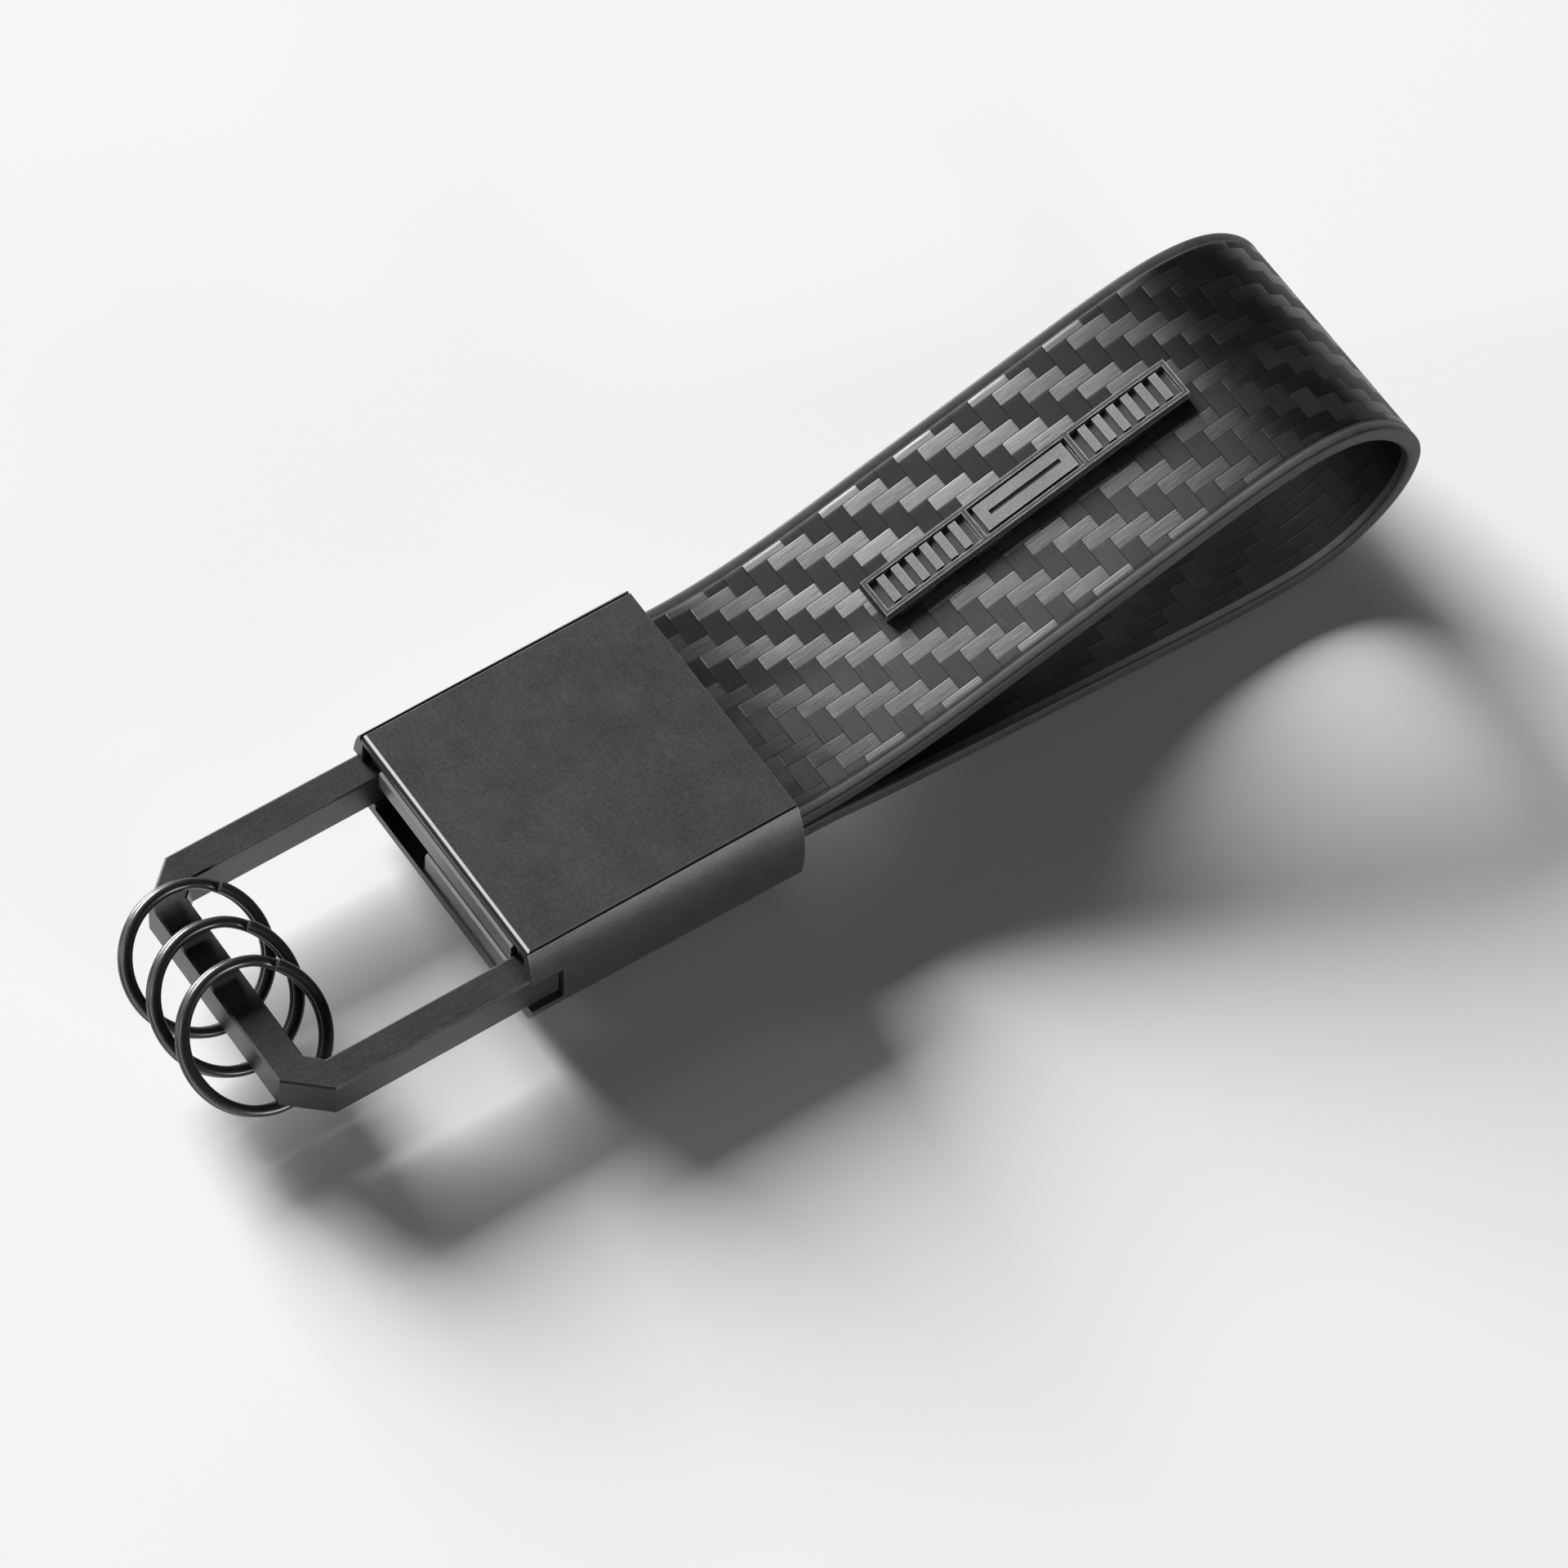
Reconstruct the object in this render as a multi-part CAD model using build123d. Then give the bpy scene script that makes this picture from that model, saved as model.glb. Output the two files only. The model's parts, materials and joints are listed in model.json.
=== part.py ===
from build123d import *
import math
import os

# Leather-loop key organiser: a flat metal clasp, a U-shaped key frame that swings open
# in its own plane, three double-coil split rings, and a woven-look leather loop.
# Working frame: X runs from the clasp's front rim (0) back along the strap, Y is across,
# Z is up, and Z = 0 is the surface that the strap loop rests on. Millimetres. When a node
# is written, FRONT_RIM_X moves the origin to the middle of the whole object's base.
FRONT_RIM_X = -35.56

# ---- clasp
CLASP_LENGTH = 29.8
COVER_HALF_WIDTH = 13.85
COVER_SEAT = 14.03
COVER_TOP = 12.0
COVER_THICKNESS = 1.0
HOUSING_BOTTOM = 1.5
FLOOR_THICKNESS = 1.2
CAVITY_HALF_WIDTH = 13.62
SIDE_HEIGHTS = [11.9, 10.3, 8.0, 5.4, 3.1, 1.85, 1.4]
SIDE_AT_FRONT = [14.12, 14.75, 15.15, 15.3, 15.2, 14.85, 14.2]
SIDE_AT_BACK = [14.12, 15.0, 15.6, 15.8, 15.65, 15.2, 14.4]
NOTCH_DEPTH = 3.4
LUG_FRONT = 0.8
LUG_BACK = 7.6
LUG_INNER = 11.3

# ---- key frame
FRAME_FRONT = -24.8
FRAME_HALF_WIDTH = 14.63
LEG_WIDTH = 3.26
BAR_WIDTH = 3.36
FRAME_BOTTOM = 3.57
FRAME_TOP = 7.97
OUTER_CHAMFER_X = 3.96
OUTER_CHAMFER_Y = 3.5
INNER_CHAMFER = 1.5
EDGE_BREAK = 0.2
NEAR_LEG_END = 3.25
PIVOT_X = 1.7
PIVOT_Y = FRAME_HALF_WIDTH - LEG_WIDTH / 2
PIN_RADIUS = 0.5
BUSHING_BORE = 0.55
BUSHING_RADIUS = 0.95
FRAME_GAP = 0.13

# ---- inner block and sprung ball
JAW_FRONT = 0.25
JAW_BACK = 9.0
JAW_HALF_WIDTH = 11.12
LOWER_JAW = (2.7, 5.6)
LOWER_JAW_FAR = 3.2
UPPER_JAW = (6.5, 9.2)
BALL_RADIUS = 0.75
BALL_CENTRE = (1.7, -10.95, 4.55)
BALL_BORE_RADIUS = 0.8
BALL_BORE_END = -7.6

# ---- strap
STRAP_HALF_WIDTH = 13.5
OUTER_LEATHER = 0.65
CORE = 0.4
LINING = 0.65
STRAP_THICKNESS = OUTER_LEATHER + CORE + LINING
STRAP_START = 13.0
PLY_MIDDLE = 6.1
TONGUE_THICKNESS = 0.4
UPPER_FACE = PLY_MIDDLE + TONGUE_THICKNESS / 2 + STRAP_THICKNESS
LOWER_FACE = PLY_MIDDLE - TONGUE_THICKNESS / 2 - STRAP_THICKNESS
LOOP_OUTER = [
    (29.8, UPPER_FACE), (33.5, 8.05), (37.8, 8.45), (42.5, 9.35), (47.0, 10.5), (55.0, 13.05),
    (64.0, 15.95), (74.0, 19.2), (82.0, 21.6), (88.5, 22.7), (94.5, 21.8), (99.3, 18.2),
    (102.0, 12.6), (101.2, 8.2), (97.6, 3.6), (92.0, 0.75), (85.0, 0.0), (75.0, 0.45),
    (62.0, 1.4), (50.0, 2.35), (40.0, 3.3), (33.5, 4.0), (29.8, LOWER_FACE),
]

# ---- clamp that holds the strap ends
CLAMP_BACK = 28.8
CLAMP_HALF_WIDTH = 13.5
CLAMP_SCREW_X, CLAMP_SCREW_Y = 18.5, 8.0
RIVET_X, RIVET_Y = 25.2, 8.5
JAW_SCREW_X, JAW_SCREW_Y = 6.2, 6.2

# ---- badge bar on the strap
BADGE_X = (48.6, 82.4)
BADGE_Y = (-1.25, 3.15)
BADGE_HEIGHT = 1.05
BADGE_POCKET = 0.4
BADGE_RIM = 0.45
BADGE_DIVIDERS = (59.8, 71.2)
BADGE_DIVIDER_WIDTH = 0.5
POST_X = (54.0, 77.0)

# ---- split rings
RING_Y = (5.0, 0.1, -4.8)
RING_RADIUS = 6.85
WIRE_RADIUS = 0.55
COIL_OFFSET = 0.56
RING_TILT = 34.0
RING_SHIFT = -0.3
RING_CROSSOVER = 62.0
BAR_X = FRAME_FRONT + BAR_WIDTH / 2
BAR_Z = (FRAME_BOTTOM + FRAME_TOP) / 2


def block(x, y, z):
    """Box between the two limits given for each axis."""
    size = [b - a for a, b in (x, y, z)]
    middle = [(a + b) / 2 for a, b in (x, y, z)]
    return Pos(*middle) * Box(*size)


def upright(x, y, z, radius):
    """Vertical cylinder between two heights."""
    return Pos(x, y, (z[0] + z[1]) / 2) * Cylinder(radius, z[1] - z[0])


def cone_up(x, y, z, low_radius, high_radius):
    return Pos(x, y, (z[0] + z[1]) / 2) * Cone(low_radius, high_radius, z[1] - z[0])


def countersunk_screw(x, y, top, radius=1.0):
    """Countersunk screw driven up from the housing's underside, with a cross recess."""
    head_low = HOUSING_BOTTOM + 0.05
    screw = upright(x, y, (HOUSING_BOTTOM + 0.9, top), radius)
    screw += cone_up(x, y, (head_low, HOUSING_BOTTOM + 1.0), 1.85, radius)
    recess = block((x - 1.0, x + 1.0), (y - 0.18, y + 0.18), (0, head_low + 0.5))
    recess += block((x - 0.18, x + 0.18), (y - 1.0, y + 1.0), (0, head_low + 0.5))
    return screw - recess


def screw_hole(x, y, top, radius=1.0):
    """Clearance for a countersunk screw, a little wider than the screw."""
    hole = upright(x, y, (HOUSING_BOTTOM - 1, top), radius + 0.03)
    return hole + cone_up(x, y, (HOUSING_BOTTOM - 0.05, HOUSING_BOTTOM + 1.05), 1.95, radius + 0.03)


def mirrored(y):
    return (y, -y)


def housing_section(x, widths):
    """Outline of the housing at one X, bulged at the sides."""
    right = list(zip(widths, SIDE_HEIGHTS))
    left = [(-y, z) for y, z in reversed(right)]
    outline = Spline(*right) + Line(right[-1], left[0]) + Spline(*left) + Line(left[-1], right[0])
    return Plane(origin=(x, 0, 0), x_dir=(0, 1, 0), z_dir=(1, 0, 0)) * make_face(outline)


def clasp_housing():
    """Tub with side lugs that carry the pivot pin, open front and back."""
    body = loft([housing_section(0, SIDE_AT_FRONT), housing_section(CLASP_LENGTH, SIDE_AT_BACK)], ruled=True)
    body -= block((-1, CLASP_LENGTH + 1), (-COVER_SEAT, COVER_SEAT), (COVER_TOP - COVER_THICKNESS, 13))
    body -= block((-1, CLASP_LENGTH + 1), (-16, 16), (HOUSING_BOTTOM - 1, HOUSING_BOTTOM))
    floor = HOUSING_BOTTOM + FLOOR_THICKNESS
    cavity_back = block((LUG_BACK, CLASP_LENGTH + 1), (-CAVITY_HALF_WIDTH, CAVITY_HALF_WIDTH), (floor, 12))
    cavity_front = block((-1, LUG_BACK + 1), (-LUG_INNER, LUG_INNER), (floor, 12))
    recess = block((-1, LUG_FRONT), (-CAVITY_HALF_WIDTH, CAVITY_HALF_WIDTH), (FRAME_BOTTOM - FRAME_GAP, 12))
    body -= cavity_back + cavity_front + recess
    for side in (1, -1):
        y = sorted((side * (LUG_INNER - 1), side * 16))
        body -= block((-1, NOTCH_DEPTH), y, (FRAME_BOTTOM - FRAME_GAP, FRAME_TOP + FRAME_GAP))
        body -= upright(5.6, side * 12.4, (8.9, 12), 0.72)
    body -= upright(PIVOT_X, PIVOT_Y, (2.1, 10.6), PIN_RADIUS + 0.01)
    for y in mirrored(JAW_SCREW_Y):
        body -= screw_hole(JAW_SCREW_X, y, 4)
    for y in mirrored(CLAMP_SCREW_Y):
        body -= screw_hole(CLAMP_SCREW_X, y, 4)
    return body


def clasp_cover():
    """Flat top plate with a bevelled front rim and blind holes for its studs."""
    low = COVER_TOP - COVER_THICKNESS
    plate = block((0, CLASP_LENGTH), (-COVER_HALF_WIDTH, COVER_HALF_WIDTH), (low, COVER_TOP))
    front = plate.edges().filter_by(Axis.Y).group_by(Axis.X)[0].sort_by(Axis.Z)[-1]
    plate = chamfer(front, 0.5)
    rest = [e for e in plate.edges().filter_by(Axis.X) if e.center().Z > COVER_TOP - 0.01]
    plate = chamfer(rest, 0.12)
    for x, y in stud_places():
        plate -= upright(x, y, (low - 1, low + 0.6), 0.72)
    return plate


def stud_places():
    return [(x, y) for x, side in ((5.6, 12.4), (26.4, 11.6)) for y in mirrored(side)]


def cover_studs():
    """Four plain studs that locate the cover on the housing and the clamp."""
    low = COVER_TOP - COVER_THICKNESS
    return [upright(x, y, (low - 2.0, low + 0.55), 0.7) for x, y in stud_places()]


def upper_jaw():
    jaw = block((JAW_FRONT, JAW_BACK), (-JAW_HALF_WIDTH, JAW_HALF_WIDTH), UPPER_JAW)
    jaw = chamfer(jaw.edges().filter_by(Axis.Y).group_by(Axis.X)[0], 0.25)
    for y in mirrored(JAW_SCREW_Y):
        jaw -= upright(JAW_SCREW_X, y, (UPPER_JAW[0] - 1, 8.8), 1.01)
    return jaw


def lower_jaw():
    """Shorter block below the gap; its near end holds the sprung ball."""
    jaw = block((JAW_FRONT, JAW_BACK), (-JAW_HALF_WIDTH, LOWER_JAW_FAR), LOWER_JAW)
    jaw = chamfer(jaw.edges().filter_by(Axis.Y).group_by(Axis.X)[0], 0.25)
    jaw -= upright(JAW_SCREW_X, -JAW_SCREW_Y, (LOWER_JAW[0] - 1, LOWER_JAW[1] + 1), 1.03)
    return jaw - across(BALL_CENTRE[0], (-12, BALL_BORE_END), BALL_CENTRE[2], BALL_BORE_RADIUS)


def across(x, y, z, radius):
    """Cylinder along Y between two Y limits."""
    return Pos(x, (y[0] + y[1]) / 2, z) * Rot(90, 0, 0) * Cylinder(radius, y[1] - y[0])


def jaw_screws():
    return [countersunk_screw(JAW_SCREW_X, y, 8.6) for y in mirrored(JAW_SCREW_Y)]


def frame_outline():
    """U outline with chamfered corners; the far leg ends in a half round on the pivot."""
    w, inner = FRAME_HALF_WIDTH, FRAME_HALF_WIDTH - LEG_WIDTH
    front, back = FRAME_FRONT, FRAME_FRONT + BAR_WIDTH
    points = [
        (NEAR_LEG_END, -w), (front + OUTER_CHAMFER_X, -w), (front, -w + OUTER_CHAMFER_Y),
        (front, w - OUTER_CHAMFER_Y), (front + OUTER_CHAMFER_X, w), (PIVOT_X, w),
        (PIVOT_X, inner), (back + INNER_CHAMFER, inner), (back, inner - INNER_CHAMFER),
        (back, -inner + INNER_CHAMFER), (back + INNER_CHAMFER, -inner), (NEAR_LEG_END, -inner),
    ]
    outline = make_face(Polyline(*points, close=True))
    return outline + Pos(PIVOT_X, PIVOT_Y) * Circle(LEG_WIDTH / 2)


def key_frame():
    frame = Pos(0, 0, FRAME_BOTTOM) * extrude(frame_outline(), amount=FRAME_TOP - FRAME_BOTTOM)
    rims = [e for e in frame.edges() if abs(e.center().Z - FRAME_TOP) < 1e-4 or abs(e.center().Z - FRAME_BOTTOM) < 1e-4]
    frame = chamfer(rims, EDGE_BREAK)
    frame -= upright(PIVOT_X, PIVOT_Y, (FRAME_BOTTOM - 1, FRAME_TOP + 1), BUSHING_RADIUS)
    return frame - Pos(*BALL_CENTRE) * Sphere(BALL_RADIUS + 0.06)


def frame_bushing():
    tube = upright(PIVOT_X, PIVOT_Y, (FRAME_BOTTOM, FRAME_TOP), BUSHING_RADIUS)
    return tube - upright(PIVOT_X, PIVOT_Y, (FRAME_BOTTOM - 1, FRAME_TOP + 1), BUSHING_BORE)


def pivot_pin():
    return upright(PIVOT_X, PIVOT_Y, (2.15, 10.5), PIN_RADIUS)


def detent_ball():
    return Pos(*BALL_CENTRE) * Sphere(BALL_RADIUS)


def detent_spring():
    """Small coil between the ball and the end of its bore."""
    start, end, wire, radius = -9.98, -7.75, 0.11, 0.55
    turns = 4.0
    path = Helix(pitch=(end - start) / turns, height=end - start, radius=radius)
    section = Plane(path @ 0, z_dir=path % 0) * Circle(wire)
    coil = sweep(section, path=path, is_frenet=True)
    return Pos(BALL_CENTRE[0], start, BALL_CENTRE[2]) * Rot(-90, 0, 0) * coil


def loop_spline():
    return Spline(*LOOP_OUTER, tangents=[(1, 0.02), (-1, 0.1)])


def loop_points(inset, count=150):
    """Points on the loop's outer line, moved inwards by the inset."""
    line = loop_spline()
    points = []
    for i in range(count + 1):
        place, along = line @ (i / count), line % (i / count)
        points.append((place.X + along.Y * inset, place.Y - along.X * inset))
    return points


def loop_layer(outer, inner, half_width=STRAP_HALF_WIDTH):
    """One layer of the loop between two insets, with its straight ends in the clasp."""
    upper_out, upper_in = UPPER_FACE - outer, UPPER_FACE - inner
    lower_out, lower_in = LOWER_FACE + outer, LOWER_FACE + inner
    outside, inside = loop_points(outer), loop_points(inner)
    outside[0], outside[-1] = (CLASP_LENGTH, upper_out), (CLASP_LENGTH, lower_out)
    inside[0], inside[-1] = (CLASP_LENGTH, upper_in), (CLASP_LENGTH, lower_in)
    outline = Line((STRAP_START, upper_out), outside[0]) + Spline(*outside)
    outline += Line(outside[-1], (STRAP_START, lower_out))
    outline += Line((STRAP_START, lower_out), (STRAP_START, lower_in))
    outline += Line((STRAP_START, lower_in), inside[-1]) + Spline(*inside)
    outline += Line(inside[0], (STRAP_START, upper_in))
    outline += Line((STRAP_START, upper_in), (STRAP_START, upper_out))
    face = Plane.XZ * make_face(outline)
    return Pos(0, half_width, 0) * extrude(face, amount=2 * half_width, dir=(0, -1, 0))


def strap_layer(outer, inner):
    layer = loop_layer(outer, inner)
    for y in mirrored(CLAMP_SCREW_Y):
        layer -= upright(CLAMP_SCREW_X, y, (0, 12), 1.03)
    for y in mirrored(RIVET_Y):
        layer -= upright(RIVET_X, y, (0, 12), 1.03)
    for x in POST_X:
        layer -= post(x, 0.3, 2.6, 0.83)
    return layer


def strap_outer():
    return strap_layer(0, OUTER_LEATHER)


def strap_core():
    return strap_layer(OUTER_LEATHER, OUTER_LEATHER + CORE)


def strap_lining():
    return strap_layer(OUTER_LEATHER + CORE, STRAP_THICKNESS)


def strap_tongue():
    """Thin steel plate between the two strap ends."""
    z = (PLY_MIDDLE - TONGUE_THICKNESS / 2, PLY_MIDDLE + TONGUE_THICKNESS / 2)
    plate = block((STRAP_START + 0.5, 27.5), (-12.5, 12.5), z)
    return drill(plate, 1.03)


def drill(part, radius):
    for y in mirrored(CLAMP_SCREW_Y):
        part -= upright(CLAMP_SCREW_X, y, (0, 10.2), radius)
    for y in mirrored(RIVET_Y):
        part -= upright(RIVET_X, y, (0, 12), radius)
    return part


def clamp_upper():
    plate = block((11.5, CLAMP_BACK), (-CLAMP_HALF_WIDTH, CLAMP_HALF_WIDTH), (UPPER_FACE, COVER_TOP - COVER_THICKNESS))
    plate = drill(plate, 1.01)
    for y in mirrored(11.6):
        plate -= upright(26.4, y, (8.9, 12), 0.72)
    return plate


def clamp_lower():
    z = (HOUSING_BOTTOM + FLOOR_THICKNESS, LOWER_FACE)
    return drill(block((11.5, CLAMP_BACK), (-CLAMP_HALF_WIDTH, CLAMP_HALF_WIDTH), z), 1.03)


def clamp_screws():
    return [countersunk_screw(CLAMP_SCREW_X, y, 10.0) for y in mirrored(CLAMP_SCREW_Y)]


def strap_rivets():
    z = (HOUSING_BOTTOM + FLOOR_THICKNESS, COVER_TOP - COVER_THICKNESS)
    return [upright(RIVET_X, y, z, 1.0) for y in mirrored(RIVET_Y)]


def ply_place(x):
    """Point on the upper ply's outer line at this X, and its unit tangent."""
    line = loop_spline()
    low, high = 0.0, 0.45
    for _ in range(40):
        middle = (low + high) / 2
        if (line @ middle).X < x:
            low = middle
        else:
            high = middle
    return line @ low, line % low


def post(x, above, below, radius):
    """Cylinder square to the upper ply, from above its face to below it."""
    place, along = ply_place(x)
    normal = (-along.Y, 0, along.X)
    middle_y = (BADGE_Y[0] + BADGE_Y[1]) / 2
    start = (place.X - normal[0] * below, middle_y, place.Y - normal[2] * below)
    return extrude(Plane(origin=start, z_dir=normal) * Circle(radius), amount=above + below)


def badge_strip(x, y, low, high):
    """Strip that lies on the upper ply between two heights above its face."""
    strip = loop_layer(-high, -low, 8)
    return strip & block(x, y, (9, 30))


def badge_panels(clearance):
    """The three pockets inside the badge's rim, as X limits."""
    edges = [BADGE_X[0] + BADGE_RIM, *BADGE_DIVIDERS, BADGE_X[1] - BADGE_RIM]
    half = BADGE_DIVIDER_WIDTH / 2
    lows = [edges[0], edges[1] + half, edges[2] + half]
    highs = [edges[1] - half, edges[2] - half, edges[3]]
    return [(a + clearance, b - clearance) for a, b in zip(lows, highs)]


def badge_plate():
    """Bar with a raised rim and two dividers, which leave three pockets."""
    plate = badge_strip(BADGE_X, BADGE_Y, 0, BADGE_HEIGHT)
    inner_y = (BADGE_Y[0] + BADGE_RIM, BADGE_Y[1] - BADGE_RIM)
    for panel in badge_panels(0):
        plate -= badge_strip(panel, inner_y, BADGE_HEIGHT - BADGE_POCKET, BADGE_HEIGHT + 1)
    for x in POST_X:
        plate -= post(x, 0.5, 2.6, 0.81)
    return plate


def badge_ribs():
    """Cross ribs that stand in the first pocket and the last one."""
    inner_y = (BADGE_Y[0] + BADGE_RIM + 0.25, BADGE_Y[1] - BADGE_RIM - 0.25)
    ribs = []
    for low, high in (badge_panels(0.5)[0], badge_panels(0.5)[2]):
        pitch = (high - low) / 6
        for i in range(6):
            x = low + pitch * (i + 0.5)
            ribs.append(badge_strip((x - 0.4, x + 0.4), inner_y, BADGE_HEIGHT - BADGE_POCKET, BADGE_HEIGHT))
    return ribs


def badge_inlay():
    """Plain long bar in the middle pocket, with a groove along it."""
    low, high = badge_panels(0.5)[1]
    inner_y = (BADGE_Y[0] + BADGE_RIM + 0.3, BADGE_Y[1] - BADGE_RIM - 0.3)
    bar = badge_strip((low, high), inner_y, BADGE_HEIGHT - BADGE_POCKET, BADGE_HEIGHT)
    middle = (inner_y[0] + inner_y[1]) / 2
    return bar - badge_strip((low + 1, high - 1), (middle - 0.3, middle + 0.3), BADGE_HEIGHT - 0.2, BADGE_HEIGHT + 1)


def badge_posts():
    return [post(x, 0.45, STRAP_THICKNESS + 0.55, 0.8) for x in POST_X]


def badge_washers():
    washers = []
    for x in POST_X:
        disc = post(x, -STRAP_THICKNESS - 0.02, STRAP_THICKNESS + 0.42, 1.8)
        washers.append(disc - post(x, 0, 4, 0.82))
    return washers


def ring_path():
    """Two coils, one on the other, joined by a short crossover."""
    gap = math.radians(34)
    start, end = gap / 2, 4 * math.pi - gap / 2
    steps = 72
    points = []
    for i in range(steps + 1):
        angle = start + (end - start) * i / steps
        rise = min(1.0, max(0.0, (angle - (2 * math.pi - gap / 2)) / gap))
        height = COIL_OFFSET * (2 * (3 * rise ** 2 - 2 * rise ** 3) - 1)
        turn = angle + math.radians(RING_CROSSOVER)
        points.append((RING_RADIUS * math.cos(turn), RING_RADIUS * math.sin(turn), height))
    return Spline(*points)


def split_ring(y):
    path = ring_path()
    wire = sweep(Plane(path @ 0, z_dir=path % 0) * Circle(WIRE_RADIUS), path=path)
    return Pos(BAR_X + RING_SHIFT, y, BAR_Z) * Rot(RING_TILT, 0, 0) * wire


def save(name, shape):
    """Write one node; a list becomes a group of separate solids."""
    solids = [Pos(FRONT_RIM_X, 0, 0) * one for one in (shape if isinstance(shape, list) else [shape])]
    shape = Compound(children=solids) if len(solids) > 1 else solids[0]
    shape.label = name
    export_step(shape, os.path.join("parts", name + ".step"))


def main():
    os.makedirs("parts", exist_ok=True)
    makers = [
        clasp_housing, clasp_cover, cover_studs, upper_jaw, lower_jaw, jaw_screws, key_frame,
        frame_bushing, pivot_pin, detent_ball, detent_spring, strap_outer, strap_core,
        strap_lining, strap_tongue, clamp_upper, clamp_lower, clamp_screws, strap_rivets,
        badge_plate, badge_ribs, badge_inlay, badge_posts, badge_washers,
    ]
    for maker in makers:
        save(maker.__name__, maker())
    for number, y in enumerate(RING_Y, start=1):
        save("split_ring_%d" % number, split_ring(y))


main()
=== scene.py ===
import json
import logging
import math
from dataclasses import dataclass, field
from enum import Enum

import bmesh
import bpy
import numpy as np
from mathutils import Matrix, Vector


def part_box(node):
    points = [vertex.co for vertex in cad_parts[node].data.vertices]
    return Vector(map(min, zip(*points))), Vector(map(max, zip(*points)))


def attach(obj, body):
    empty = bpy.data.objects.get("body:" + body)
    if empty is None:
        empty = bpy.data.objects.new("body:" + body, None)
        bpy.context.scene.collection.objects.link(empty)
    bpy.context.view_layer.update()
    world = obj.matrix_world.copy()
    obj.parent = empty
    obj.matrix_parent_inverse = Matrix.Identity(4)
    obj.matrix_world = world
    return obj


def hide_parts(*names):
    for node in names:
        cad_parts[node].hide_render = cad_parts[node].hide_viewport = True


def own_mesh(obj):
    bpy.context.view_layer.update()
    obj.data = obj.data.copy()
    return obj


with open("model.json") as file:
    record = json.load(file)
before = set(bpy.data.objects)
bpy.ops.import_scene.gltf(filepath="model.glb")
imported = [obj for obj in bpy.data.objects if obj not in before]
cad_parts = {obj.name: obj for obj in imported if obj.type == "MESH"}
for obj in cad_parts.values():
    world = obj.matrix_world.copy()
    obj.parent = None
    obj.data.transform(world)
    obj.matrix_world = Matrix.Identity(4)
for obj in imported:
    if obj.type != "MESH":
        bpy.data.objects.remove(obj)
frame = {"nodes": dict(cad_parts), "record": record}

log = logging.getLogger("key_organiser")

MM = 0.001
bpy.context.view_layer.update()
Pair = tuple[float, float]
Triple = tuple[float, float, float]
Colour = tuple[float, float, float]
Socket = bpy.types.NodeSocket

FLOAT = "NodeSocketFloat"
VECTOR = "NodeSocketVector"
RISING = (0.0, 1.0)
FALLING = (1.0, 0.0)


class Brush(Enum):
    """Direction that a metal surface was brushed in, as a stretch of object space."""

    ALONG_X = (0.05, 1.0, 1.0)
    ALONG_Y = (1.0, 0.05, 1.0)
    NONE = (1.0, 1.0, 1.0)


class Zone(Enum):
    """Part of the strap's section, with the number of its material slot."""

    FACE = 0
    EDGE = 1
    BACK = 2


@dataclass(frozen=True)
class Pattern:
    """Noise pattern: features per unit, octaves, and weight of the finer octaves."""

    scale: float
    detail: float = 3.0
    roughness: float = 0.5


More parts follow.
